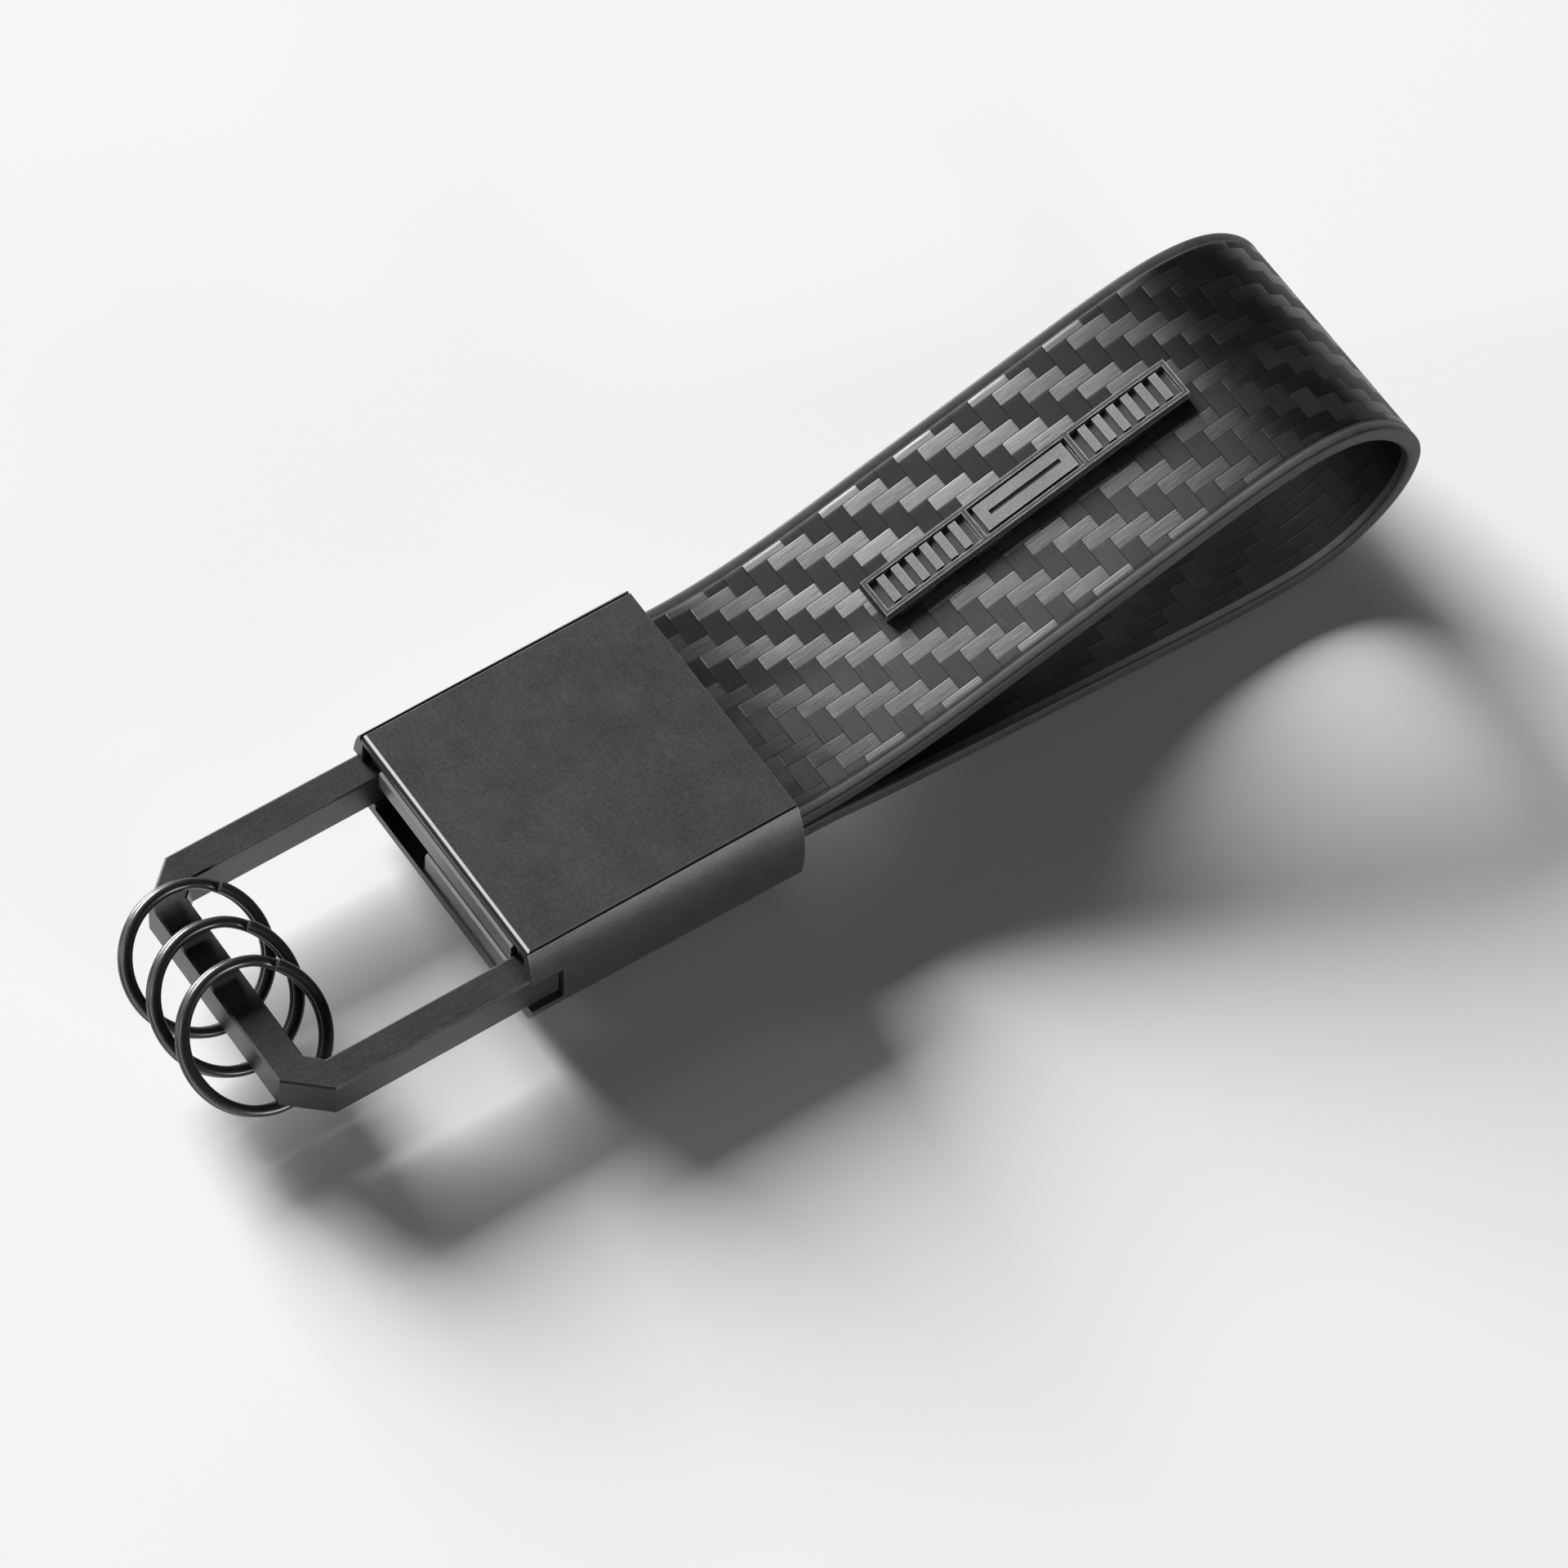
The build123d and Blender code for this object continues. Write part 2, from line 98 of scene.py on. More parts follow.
class Graph:
    """Adds and links shader nodes in one node tree with short calls."""

    COLOUR_INPUTS, COLOUR_RESULT = (6, 7), 2  # a Mix node's colour sockets
    VALUE_INPUTS, VALUE_RESULT = (2, 3), 0  # a Mix node's number sockets

    def __init__(self, tree: bpy.types.NodeTree) -> None:
        """Keep the tree that the calls work on.

        Args:
            tree: Node tree of a material, a world or a node group.
        """
        self.tree = tree

    def node(self, kind: str, **settings: object) -> bpy.types.Node:
        """Add one node and set its properties.

        Args:
            kind: Blender's type name, such as "ShaderNodeMath".
            settings: Properties to set on the node.

        Returns:
            The new node.
        """
        made = self.tree.nodes.new(kind)
        for name, value in settings.items():
            setattr(made, name, value)
        return made

    def plug(self, target: Socket, value: object) -> None:
        """Link a socket to the target, or set the target's own value.

        Args:
            target: Input socket.
            value: An output socket, a number, a vector or a colour. None leaves the target alone.
        """
        if isinstance(value, bpy.types.NodeSocket):
            self.tree.links.new(value, target)
        elif value is not None:
            target.default_value = value

    def math(self, operation: str, *values: object, clamp: bool = False) -> Socket:
        """Add a Math node.

        Args:
            operation: Blender's name of the operation.
            values: Inputs in order.
            clamp: Whether the result is kept between 0 and 1.

        Returns:
            The result's socket.
        """
        made = self.node("ShaderNodeMath", operation=operation, use_clamp=clamp)
        for target, value in zip(made.inputs, values):
            self.plug(target, value)
        return made.outputs[0]

    def weighted(self, *parts: tuple[Socket, float]) -> Socket:
        """Add up values, each times its share.

        Args:
            parts: Each value's socket and its share.

        Returns:
            The sum's socket.
        """
        total = self.math("MULTIPLY", *parts[0])
        for part in parts[1:]:
            total = self.math("ADD", total, self.math("MULTIPLY", *part))
        return total

    def vector(self, operation: str, *values: object) -> bpy.types.Node:
        """Add a Vector Math node.

        Args:
            operation: Blender's name of the operation.
            values: Inputs in order.

        Returns:
            The node, since its useful output differs with the operation.
        """
        made = self.node("ShaderNodeVectorMath", operation=operation)
        for target, value in zip(made.inputs, values):
            self.plug(target, value)
        return made

    def axes(self, place: Socket) -> tuple[Socket, Socket, Socket]:
        """Split coordinates or a normal into its X, Y and Z."""
        split = self.node("ShaderNodeSeparateXYZ")
        self.plug(split.inputs[0], place)
        return split.outputs[0], split.outputs[1], split.outputs[2]

    def mix(self, factor: object, first: object, second: object) -> Socket:
        """Add a colour Mix node.

        Args:
            factor: 0 gives the first colour, 1 the second.
            first: Colour or socket.
            second: Colour or socket.

        Returns:
            The mixed colour's socket.
        """
        made = self.node("ShaderNodeMix", data_type="RGBA")
        self.plug(made.inputs[0], factor)
        for index, colour in zip(self.COLOUR_INPUTS, (first, second)):
            self.plug(made.inputs[index], rgba(colour))
        return made.outputs[self.COLOUR_RESULT]

    def pick(self, which: Socket, zero: Socket, one: Socket) -> Socket:
        """Choose one of two values.

        Args:
            which: 0 or 1.
            zero: Value at 0.
            one: Value at 1.

        Returns:
            The chosen value's socket.
        """
        made = self.node("ShaderNodeMix", data_type="FLOAT")
        self.plug(made.inputs[0], which)
        for index, value in zip(self.VALUE_INPUTS, (zero, one)):
            self.plug(made.inputs[index], value)
        return made.outputs[self.VALUE_RESULT]

    def scale_range(self, value: Socket, ends: Pair, to: Pair = RISING) -> Socket:
        """Add a clamped, smooth Map Range node.

        Args:
            value: Input.
            ends: Two values of the input.
            to: What they become.

        Returns:
            The result's socket.
        """
        made = self.node("ShaderNodeMapRange", interpolation_type="SMOOTHSTEP")
        for target, item in zip(made.inputs, (value, *ends, *to)):
            self.plug(target, item)
        return made.outputs[0]

    def noise(self, place: Socket, pattern: Pattern) -> Socket:
        """Add a Noise Texture node.

        Args:
            place: Coordinates.
            pattern: Scale and roughness of the noise.

        Returns:
            The noise value's socket.
        """
        made = self.node("ShaderNodeTexNoise")
        self.plug(made.inputs["Vector"], place)
        self.plug(made.inputs["Scale"], pattern.scale)
        self.plug(made.inputs["Detail"], pattern.detail)
        self.plug(made.inputs["Roughness"], pattern.roughness)
        return made.outputs[0]

    def cells(self, place: Socket, scale: float, feature: str = "F1") -> Socket:
        """Add a Voronoi Texture node.

        Args:
            place: Coordinates.
            scale: Cells per unit.
            feature: Blender's name of the feature.

        Returns:
            The socket of the distance from the cell's centre.
        """
        made = self.node("ShaderNodeTexVoronoi", feature=feature)
        self.plug(made.inputs["Vector"], place)
        self.plug(made.inputs["Scale"], scale)
        return made.outputs["Distance"]

    def stretched(self, place: Socket, scale: Triple) -> Socket:
        """Multiply coordinates by a factor for each axis."""
        return self.vector("MULTIPLY", place, scale).outputs[0]

    def bump(self, height: Socket, relief: Pair, normal: Socket | None = None) -> Socket:
        """Add a Bump node.

        Args:
            height: Height value.
            relief: Strength of the effect, and the height in metres of a value of 1.
            normal: Normal that it starts from.

        Returns:
            The new normal's socket.
        """
        made = self.node("ShaderNodeBump")
        self.plug(made.inputs["Strength"], relief[0])
        self.plug(made.inputs["Distance"], relief[1])
        self.plug(made.inputs["Height"], height)
        self.plug(made.inputs["Normal"], normal)
        return made.outputs[0]


def rgba(value: object) -> object:
    """Add an alpha of 1 to a plain colour and leave a socket as it is."""
    return (*value, 1.0) if isinstance(value, tuple) and len(value) == 3 else value


class Effects:
    """Shader node groups that several finishes share, each made once."""

    # Satin metal: mottling, speckle and scratches, and their shares in tone and height.
    SATIN_CLOUD = Pattern(170.0, 5.0, 0.62)
    SATIN_SPECKLE = Pattern(5200.0, 2.0, 0.6)
    SATIN_SCRATCHES = Pattern(9000.0, 3.0, 0.7)
    CLOUD_TONE, SPECKLE_TONE, SCRATCH_TONE = 0.28, 0.42, 0.30
    SCRATCH_HEIGHT, SPECKLE_HEIGHT = 0.7, 0.3
    MIDDLE_TONE = 0.5

    # Rubbed edges: how far a normal turns there, and the patches that break them up.
    RUB_SAMPLES = 6
    RUB_TURN = (0.995, 0.9)
    RUB_PATTERN = Pattern(700.0, 4.0, 0.6)
    RUB_PATCHES, RUB_LEFT = (0.3, 0.62), (0.45, 1.0)

    # Dust: cells with a speck each, the fields that have any, and how level they lie.
    SPECKS_PER_METRE = 900.0
    SPECK_SIZE = (0.0, 0.07)
    SPECK_FIELDS = Pattern(420.0, 2.0)
    SPECK_CHOSEN = (0.6, 0.66)
    LEVEL, LEVEL_GAIN = (0.1, 0.9), (0.1, 1.0)

    # Twill, in yarn widths: two over and two under, stepping by one yarn in each row.
    REPEAT = 4.0
    FLOAT_LENGTH = 2.0
    LENGTHWISE_BELOW = 1.5
    SIDE_POWER, END_POWER = 11.0, 22.0
    GROOVE_HEIGHTS = (0.10, 0.5)
    YARN_OFFSET = 7.3
    FIBRES = Pattern(1.0, 3.0, 0.6)
    FIBRES_ALONG, FIBRES_ACROSS = (0.7, 16.0, 1.0), (16.0, 0.7, 1.0)

    # Leather grain.
    PEBBLES_PER_METRE = 3600.0
    PEBBLE_HEIGHT = 0.6
    GRAIN_WANDER = Pattern(1500.0, 3.0, 0.6)

    def __init__(self) -> None:
        """Build every group."""
        self.brushed = self.make_brushed()
        self.wear = self.make_wear()
        self.dust = self.make_dust()
        self.twill = self.make_twill()
        self.grain = self.make_grain()
        log.info("made %d shader groups", len(bpy.data.node_groups))

    @staticmethod
    def group(
        name: str, inputs: dict[str, tuple[str, object]], outputs: tuple[str, ...]
    ) -> tuple[Graph, dict[str, Socket], dict[str, Socket]]:
        """Start a node group whose outputs are numbers.

        Args:
            name: Group's name.
            inputs: Socket type and default for each input name.
            outputs: Output names.

        Returns:
            The graph, the inputs' sockets by name, and the outputs' sockets by name.
        """
        tree = bpy.data.node_groups.new(name, "ShaderNodeTree")
        for label, (kind, default) in inputs.items():
            made = tree.interface.new_socket(label, in_out="INPUT", socket_type=kind)
            if default is not None:
                made.default_value = default
        for label in outputs:
            tree.interface.new_socket(label, in_out="OUTPUT", socket_type=FLOAT)
        graph = Graph(tree)
        start, end = graph.node("NodeGroupInput"), graph.node("NodeGroupOutput")
        take = {socket.name: socket for socket in start.outputs if socket.name}
        give = {socket.name: socket for socket in end.inputs if socket.name}
        return graph, take, give

    def make_brushed(self) -> bpy.types.NodeTree:
        """Satin mottling with fine short scratches.

        Returns:
            Group with Tone, Roughness and Height outputs.
        """
        graph, take, give = self.group(
            "satin_brushing",
            {"Place": (VECTOR, None), "Stretched": (VECTOR, None),
             "Base roughness": (FLOAT, 0.4), "Spread": (FLOAT, 0.1)},
            ("Tone", "Roughness", "Height"),
        )
        cloud = graph.noise(take["Place"], self.SATIN_CLOUD)
        speckle = graph.noise(take["Place"], self.SATIN_SPECKLE)
        lines = graph.noise(take["Stretched"], self.SATIN_SCRATCHES)
        tone = graph.weighted(
            (cloud, self.CLOUD_TONE), (speckle, self.SPECKLE_TONE), (lines, self.SCRATCH_TONE))
        swing = graph.math(
            "MULTIPLY", graph.math("SUBTRACT", tone, self.MIDDLE_TONE), take["Spread"])
        rough = graph.math("ADD", take["Base roughness"], swing, clamp=True)
        fine = graph.weighted((lines, self.SCRATCH_HEIGHT), (speckle, self.SPECKLE_HEIGHT))
        graph.plug(give["Tone"], tone)
        graph.plug(give["Roughness"], rough)
        graph.plug(give["Height"], fine)
        return graph.tree

    def make_wear(self) -> bpy.types.NodeTree:
        """Mask of rubbed edges, broken up by noise.

        Returns:
            Group with a Mask output.
        """
        graph, take, give = self.group(
            "edge_rub",
            {"Place": (VECTOR, None), "Radius": (FLOAT, 0.0002), "Amount": (FLOAT, 1.0)},
            ("Mask",),
        )
        rounded = graph.node("ShaderNodeBevel", samples=self.RUB_SAMPLES)
        graph.plug(rounded.inputs["Radius"], take["Radius"])
        plain = graph.node("ShaderNodeNewGeometry").outputs["Normal"]
        facing = graph.vector("DOT_PRODUCT", rounded.outputs[0], plain).outputs["Value"]
        edge = graph.scale_range(facing, self.RUB_TURN)
        patches = graph.noise(take["Place"], self.RUB_PATTERN)
        patchy = graph.scale_range(patches, self.RUB_PATCHES, self.RUB_LEFT)
        mask = graph.math("MULTIPLY", graph.math("MULTIPLY", edge, patchy), take["Amount"])
        graph.plug(give["Mask"], mask)
        return graph.tree

    def make_dust(self) -> bpy.types.NodeTree:
        """Sparse pale specks, more on surfaces that face up.

        Returns:
            Group with a Mask output.
        """
        graph, take, give = self.group(
            "fine_dust", {"Place": (VECTOR, None), "Amount": (FLOAT, 0.3)}, ("Mask",))
        cells = graph.cells(take["Place"], self.SPECKS_PER_METRE)
        specks = graph.scale_range(cells, self.SPECK_SIZE, FALLING)
        fields = graph.noise(take["Place"], self.SPECK_FIELDS)
        chosen = graph.scale_range(fields, self.SPECK_CHOSEN)
        _, _, up = graph.axes(graph.node("ShaderNodeNewGeometry").outputs["Normal"])
        lying = graph.scale_range(up, self.LEVEL, self.LEVEL_GAIN)
        mask = graph.math("MULTIPLY", graph.math("MULTIPLY", specks, chosen), lying)
        graph.plug(give["Mask"], graph.math("MULTIPLY", mask, take["Amount"]))
        return graph.tree

    def make_twill(self) -> bpy.types.NodeTree:
        """Two-over, two-under twill in yarn widths.

        Returns:
            Group with Along (1 where the lengthwise yarn is on top), Height, Groove, Yarn (a
            random value of each yarn) and Fibre outputs.
        """
        graph, take, give = self.group(
            "twill_weave", {"Weave": (VECTOR, None)},
            ("Along", "Height", "Groove", "Yarn", "Fibre"))
        x, y, _ = graph.axes(take["Weave"])
        column, row = graph.math("FLOOR", x), graph.math("FLOOR", y)
        across_x, across_y = graph.math("FRACT", x), graph.math("FRACT", y)
        step = graph.math("FLOORED_MODULO", graph.math("ADD", column, row), self.REPEAT)
        along = graph.math("LESS_THAN", step, self.LENGTHWISE_BELOW)
        place_along = graph.math("FLOORED_MODULO", graph.math("ADD", x, row), self.REPEAT)
        place_across = graph.math("FLOORED_MODULO", graph.math("ADD", y, column), self.REPEAT)
        place_across = graph.math("SUBTRACT", place_across, self.FLOAT_LENGTH)
        long_height = self.float_height(graph, across_y, place_along)
        short_height = self.float_height(graph, across_x, place_across)
        height = graph.pick(along, short_height, long_height)
        yarn = graph.node("ShaderNodeTexWhiteNoise", noise_dimensions="2D")
        number = graph.node("ShaderNodeCombineXYZ")
        graph.plug(number.inputs[0], graph.pick(along, column, row))
        graph.plug(number.inputs[1], graph.math("MULTIPLY", along, self.YARN_OFFSET))
        graph.plug(yarn.inputs["Vector"], number.outputs[0])
        long_place = graph.stretched(take["Weave"], self.FIBRES_ALONG)
        short_place = graph.stretched(take["Weave"], self.FIBRES_ACROSS)
        fibre = graph.pick(
            along, graph.noise(short_place, self.FIBRES), graph.noise(long_place, self.FIBRES))
        graph.plug(give["Along"], along)
        graph.plug(give["Height"], height)
        graph.plug(give["Groove"], graph.scale_range(height, self.GROOVE_HEIGHTS, FALLING))
        graph.plug(give["Yarn"], yarn.outputs["Value"])
        graph.plug(give["Fibre"], fibre)
        return graph.tree

    def float_height(self, graph: Graph, over_width: Socket, over_length: Socket) -> Socket:
        """Height of a raised yarn from its place in the float.

        Args:
            graph: Graph to add the nodes to.
            over_width: 0 to 1 across the yarn.
            over_length: 0 to 2 along the float.

        Returns:
            The height's socket, 0 to 1.
        """
        side = graph.math("ABSOLUTE", graph.math("MULTIPLY_ADD", over_width, 2.0, -1.0))
        crown = graph.math("SUBTRACT", 1.0, graph.math("POWER", side, self.SIDE_POWER))
        end = graph.math("ABSOLUTE", graph.math("SUBTRACT", over_length, 1.0))
        cap = graph.math("SUBTRACT", 1.0, graph.math("POWER", end, self.END_POWER))
        return graph.math("MULTIPLY", crown, cap)

    def make_grain(self) -> bpy.types.NodeTree:
        """Fine pebble of a coated leather surface.

        Returns:
            Group with a Height output.
        """
        graph, take, give = self.group("fine_grain", {"Place": (VECTOR, None)}, ("Height",))
        pebbles = graph.cells(take["Place"], self.PEBBLES_PER_METRE, "SMOOTH_F1")
        wander = graph.noise(take["Place"], self.GRAIN_WANDER)
        height = graph.math("ADD", graph.math("MULTIPLY", pebbles, self.PEBBLE_HEIGHT), wander)
        graph.plug(give["Height"], height)
        return graph.tree


def add_group(graph: Graph, tree: bpy.types.NodeTree, **values: object) -> dict[str, Socket]:
    """Place a node group in a material.

    Args:
        graph: The material's graph.
        tree: Group to place.
        values: Input values by name, with _ for a space.

    Returns:
        The group's output sockets by name.
    """
    made = graph.node("ShaderNodeGroup", node_tree=tree)
    for name, value in values.items():
        graph.plug(made.inputs[name.replace("_", " ")], value)
    return {socket.name: socket for socket in made.outputs}


def start_material(name: str) -> tuple[bpy.types.Material, Graph, bpy.types.Node]:
    """Make a material that holds only a Principled shader.

    Args:
        name: Material's name.

    Returns:
        The material, its graph and its shader node.
    """
    material = bpy.data.materials.new(name)
    material.use_nodes = True
    graph = Graph(material.node_tree)
    shader = next(n for n in material.node_tree.nodes if n.type == "BSDF_PRINCIPLED")
    return material, graph, shader


@dataclass(frozen=True)
class MetalFinish:
    """Coated or bare metal with brushing, rubbed edges and a little dust."""

    TONE_ENDS = (0.32, 0.68)
    BRUSH_STRENGTH = 0.5
    DUST_COLOUR = (0.42, 0.42, 0.41)
    # Painted light on the front bevel: the bevel's normal, how closely a face must match it, the
    # painted shade, the painted highlight and the blur of the highlight line's edge.
    BEVEL_NORMAL = (-0.7071, 0.0, 0.7071)
    BEVEL_FACING = (0.93, 0.99)
    BEVEL_PAINTED_SHADE = (0.010, 0.010, 0.010)
    BEVEL_PAINTED_HIGHLIGHT = (0.55, 0.55, 0.55)
    LINE_BLUR = 0.00006

    name: str
    colour: Colour
    light: Colour
    rubbed_and_sheen: Colour
    metallic: float = 0.6
    roughness: float = 0.42
    spread: float = 0.18
    brush: Brush = Brush.ALONG_X
    edge_radius: float = 0.00018
    edge_amount: float = 0.5
    relief: float = 0.000004
    dust: float = 0.25
    # Height above which the front bevel's painted shade turns into a painted highlight line; None
    # paints neither.
    highlight_line: float | None = None

    def material(self, effects: Effects) -> bpy.types.Material:
        """Build the finish.

        Args:
            effects: Shared shader groups.

        Returns:
            The material.
        """
        material, graph, shader = start_material(self.name)
        place = graph.node("ShaderNodeTexCoord").outputs["Object"]
        stretched = graph.stretched(place, self.brush.value)
        brushing = add_group(graph, effects.brushed, Place=place, Stretched=stretched,
                             Base_roughness=self.roughness, Spread=self.spread)
        rub = add_group(
            graph, effects.wear, Place=place, Radius=self.edge_radius, Amount=self.edge_amount)
        specks = add_group(graph, effects.dust, Place=place, Amount=self.dust)
        shade = graph.scale_range(brushing["Tone"], self.TONE_ENDS)
        colour = graph.mix(shade, self.colour, self.light)
        colour = graph.mix(rub["Mask"], colour, self.rubbed_and_sheen)
        # Painted shade and a painted highlight line on the front bevel.
        if self.highlight_line is not None:
            colour = self.paint_bevel_light(graph, place, colour)
        colour = graph.mix(specks["Mask"], colour, self.DUST_COLOUR)
        graph.plug(shader.inputs["Base Color"], colour)
        graph.plug(shader.inputs["Roughness"], brushing["Roughness"])
        shader.inputs["Metallic"].default_value = self.metallic
        brushed = graph.bump(brushing["Height"], (self.BRUSH_STRENGTH, self.relief))
        graph.plug(shader.inputs["Normal"], brushed)
        return material

    def paint_bevel_light(self, graph: Graph, place: Socket, colour: Socket) -> Socket:
        """Put painted shade on the bevels that face up and to the front, with a painted highlight
        line along the top.

        Args:
            graph: The material's graph.
            place: Object coordinates.
            colour: Colour that the rest of the surface has.

        Returns:
            The new colour's socket.
        """
        normal = graph.node("ShaderNodeNewGeometry").outputs["True Normal"]
        facing = graph.vector("DOT_PRODUCT", normal, self.BEVEL_NORMAL).outputs["Value"]
        mask = graph.scale_range(facing, self.BEVEL_FACING)
        _, _, height = graph.axes(place)
        line = graph.scale_range(height, (self.highlight_line - self.LINE_BLUR, self.highlight_line))
        return graph.mix(mask, colour, graph.mix(line, self.BEVEL_PAINTED_SHADE, self.BEVEL_PAINTED_HIGHLIGHT))


@dataclass(frozen=True)
class WeaveFinish:
    """Leather film embossed with a twill weave, glossier on the lengthwise yarns."""

    # Painted sheen on the near half: from one y to another, the crosswise yarns paler and the
    # others darker.
    SHEEN_SIDE = (-0.004, 0.002)
    RUBBED_ACROSS, RUBBED_ALONG = 2.7, 0.8

    # Painted shade where the loop bends back: darker from one x to another.
    BEND, BEND_GAIN = (0.028, 0.054), (1.0, 0.38)

    FIBRE_SHARE, YARN_SHARE = 0.9, 0.3
    TONE_ENDS, TONE_GAIN = (0.3, 0.9), (0.72, 1.3)
    GROOVE_SHADE = 0.75
    DUST, DUST_COLOUR = 0.2, (0.3, 0.3, 0.29)

    ACROSS_DULLER, LENGTHWISE_GLOSS = 0.04, -0.08
    FIBRE_ROUGHNESS, MIDDLE_FIBRE = 0.25, 0.5
    GROOVE_ROUGHNESS = 0.2
    QUARTER_TURN = 0.25

    CROWN_HEIGHTS, CROWN_RISE = (0.35, 0.75), 0.3
    YARN_STRENGTH = 0.8
    FIBRE_RELIEF = (0.35, 0.00003)
    GRAIN_RELIEF = (0.15, 0.00001)

    name: str
    along: Colour
    across: Colour
    groove: Colour
    roughness: float = 0.42
    metallic: float = 0.8
    relief: float = 0.000015
    anisotropy: float = 0.8
    specular: float = 0.08

    def material(self, effects: Effects) -> bpy.types.Material:
        """Build the finish.

        Args:
            effects: Shared shader groups.

        Returns:
            The material.
        """
        material, graph, shader = start_material(self.name)
        weave_place = graph.node("ShaderNodeUVMap", uv_map=StrapLoop.WEAVE_MAP).outputs[0]
        place = graph.node("ShaderNodeTexCoord").outputs["Object"]
        weave = add_group(graph, effects.twill, Weave=weave_place)
        grain = add_group(graph, effects.grain, Place=place)
        colour = self.yarn_colour(graph, place, weave)
        specks = add_group(graph, effects.dust, Place=place, Amount=self.DUST)
        colour = graph.mix(specks["Mask"], colour, self.DUST_COLOUR)
        graph.plug(shader.inputs["Base Color"], colour)
        graph.plug(shader.inputs["Roughness"], self.yarn_roughness(graph, weave))
        shader.inputs["Specular IOR Level"].default_value = self.specular
        if self.metallic > 0.0:
            metal = graph.math("MULTIPLY", weave["Along"], self.metallic)
            graph.plug(shader.inputs["Metallic"], metal)
        if self.anisotropy > 0.0:
            shader.inputs["Anisotropic"].default_value = self.anisotropy
            shader.inputs["Anisotropic Rotation"].default_value = self.QUARTER_TURN
            lengthwise = graph.node(
                "ShaderNodeTangent", direction_type="UV_MAP", uv_map=StrapLoop.WEAVE_MAP)
            graph.plug(shader.inputs["Tangent"], lengthwise.outputs[0])
        graph.plug(shader.inputs["Normal"], self.raised(graph, weave, grain["Height"]))
        return material

    def yarn_colour(self, graph: Graph, place: Socket, weave: dict[str, Socket]) -> Socket:
        """Colour of the two sets of yarns and the grooves between them, with a painted sheen on
        the near half and painted shade towards the bend.

        Args:
            graph: The material's graph.
            place: Object coordinates.
            weave: Outputs of the weave's group.

        Returns:
            The colour's socket.
        """
        x, y, _ = graph.axes(place)
        # Painted sheen: on the near half the crosswise yarns are painted paler and the lengthwise
        # ones darker.
        rubbed_and_sheen = graph.scale_range(y, self.SHEEN_SIDE, FALLING)
        pale = tuple(self.RUBBED_ACROSS * value for value in self.across)
        dark = tuple(self.RUBBED_ALONG * value for value in self.along)
        dull = graph.mix(rubbed_and_sheen, self.across, pale)
        glossy = graph.mix(rubbed_and_sheen, self.along, dark)
        colour = graph.mix(weave["Along"], dull, glossy)
        tone = graph.weighted(
            (weave["Fibre"], self.FIBRE_SHARE), (weave["Yarn"], self.YARN_SHARE))
        tone = graph.scale_range(tone, self.TONE_ENDS, self.TONE_GAIN)
        # Painted shade: darker towards the loop's bend.
        bend_shade = graph.scale_range(x, self.BEND, self.BEND_GAIN)
        gain = graph.math("MULTIPLY", tone, bend_shade)
        colour = graph.vector("SCALE", colour, None, None, gain).outputs[0]
        groove = graph.math("MULTIPLY", weave["Groove"], self.GROOVE_SHADE)
        return graph.mix(groove, colour, self.groove)

    def yarn_roughness(self, graph: Graph, weave: dict[str, Socket]) -> Socket:
        """Roughness that differs between yarns, fibres and grooves.

        Args:
            graph: The material's graph.
            weave: Outputs of the weave's group.

        Returns:
            The roughness's socket.
        """
        rough = graph.math("MULTIPLY_ADD", weave["Along"], self.LENGTHWISE_GLOSS,
                           self.roughness + self.ACROSS_DULLER)
        fibre = graph.math("SUBTRACT", weave["Fibre"], self.MIDDLE_FIBRE)
        rough = graph.math("ADD", rough, graph.math("MULTIPLY", fibre, self.FIBRE_ROUGHNESS))
        groove = graph.math("MULTIPLY", weave["Groove"], self.GROOVE_ROUGHNESS)
        return graph.math("ADD", rough, groove)

    def raised(self, graph: Graph, weave: dict[str, Socket], grain: Socket) -> Socket:
        """Relief of the yarns, their fibres and the leather's grain.

        Args:
            graph: The material's graph.
            weave: Outputs of the weave's group.
            grain: Height of the grain.

        Returns:
            The normal's socket.
        """
        crown = graph.scale_range(weave["Height"], self.CROWN_HEIGHTS)
        crown = graph.math("MULTIPLY", crown, self.CROWN_RISE)
        height = graph.math("ADD", weave["Height"], crown)
        yarns = graph.bump(height, (self.YARN_STRENGTH, self.relief))
        fibres = graph.bump(weave["Fibre"], self.FIBRE_RELIEF, yarns)
        return graph.bump(grain, self.GRAIN_RELIEF, fibres)


